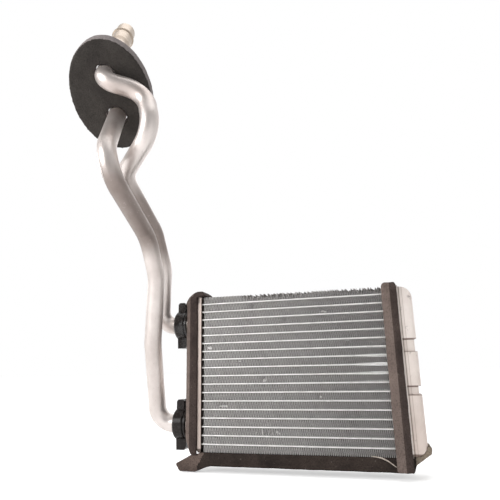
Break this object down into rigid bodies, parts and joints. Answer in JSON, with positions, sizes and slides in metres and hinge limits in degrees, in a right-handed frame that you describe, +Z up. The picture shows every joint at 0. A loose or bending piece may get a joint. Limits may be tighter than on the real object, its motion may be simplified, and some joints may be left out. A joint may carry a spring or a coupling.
{
  "type": "heater core",
  "caption": "Brazed aluminium heater core with finned flat tubes, end tanks, two bent coolant pipes in ring clamps, an oval bulkhead seal and foam strips.",
  "frame": {"origin": "the middle of the flat underside of the foam strip under the core, where the core is seated in its case", "axes": "+X to the right along the flat tubes, +Y away from the viewer through the core's depth, +Z up"},
  "size_m": [0.3217, 0.1852, 0.5092],
  "materials": {
    "tube_aluminium": "satin",
    "fin_aluminium": "dull satin",
    "tank_aluminium": "satin",
    "pipe_aluminium": "satin, handled",
    "clamp_plastic": "moulded, slightly glossy",
    "ring_rubber": "matt",
    "seal_foam": "matt closed-cell foam",
    "strip_foam": "matt open-cell foam"
  },
  "bodies": {
    "root": {"tube_01": "tube_aluminium", "tube_02": "tube_aluminium", "tube_03": "tube_aluminium", "tube_04": "tube_aluminium", "tube_05": "tube_aluminium", "tube_06": "tube_aluminium", "tube_07": "tube_aluminium", "tube_08": "tube_aluminium", "tube_09": "tube_aluminium", "tube_10": "tube_aluminium", "tube_11": "tube_aluminium", "tube_12": "tube_aluminium", "tube_13": "tube_aluminium", "tube_14": "tube_aluminium", "tube_15": "tube_aluminium", "tube_16": "tube_aluminium", "tube_17": "tube_aluminium", "tube_18": "tube_aluminium", "fin_01": "fin_aluminium", "fin_02": "fin_aluminium", "fin_03": "fin_aluminium", "fin_04": "fin_aluminium", "fin_05": "fin_aluminium", "fin_06": "fin_aluminium", "fin_07": "fin_aluminium", "fin_08": "fin_aluminium", "fin_09": "fin_aluminium", "fin_10": "fin_aluminium", "fin_11": "fin_aluminium", "fin_12": "fin_aluminium", "fin_13": "fin_aluminium", "fin_14": "fin_aluminium", "fin_15": "fin_aluminium", "fin_16": "fin_aluminium", "fin_17": "fin_aluminium", "fin_18": "fin_aluminium", "fin_19": "fin_aluminium", "header_left": "tank_aluminium", "header_right": "tank_aluminium", "tank_left": "tank_aluminium", "tank_right": "tank_aluminium", "baffle": "tank_aluminium", "port_lower": "tank_aluminium", "port_upper": "tank_aluminium", "o_ring_lower": "ring_rubber", "o_ring_upper": "ring_rubber", "pipe_lower": "pipe_aluminium", "pipe_upper": "pipe_aluminium", "clamp_lower": "clamp_plastic", "clamp_upper": "clamp_plastic", "bulkhead_seal": "seal_foam", "foam_left": "strip_foam", "foam_right": "strip_foam", "foam_bottom": "strip_foam"}
  },
  "joints": []
}
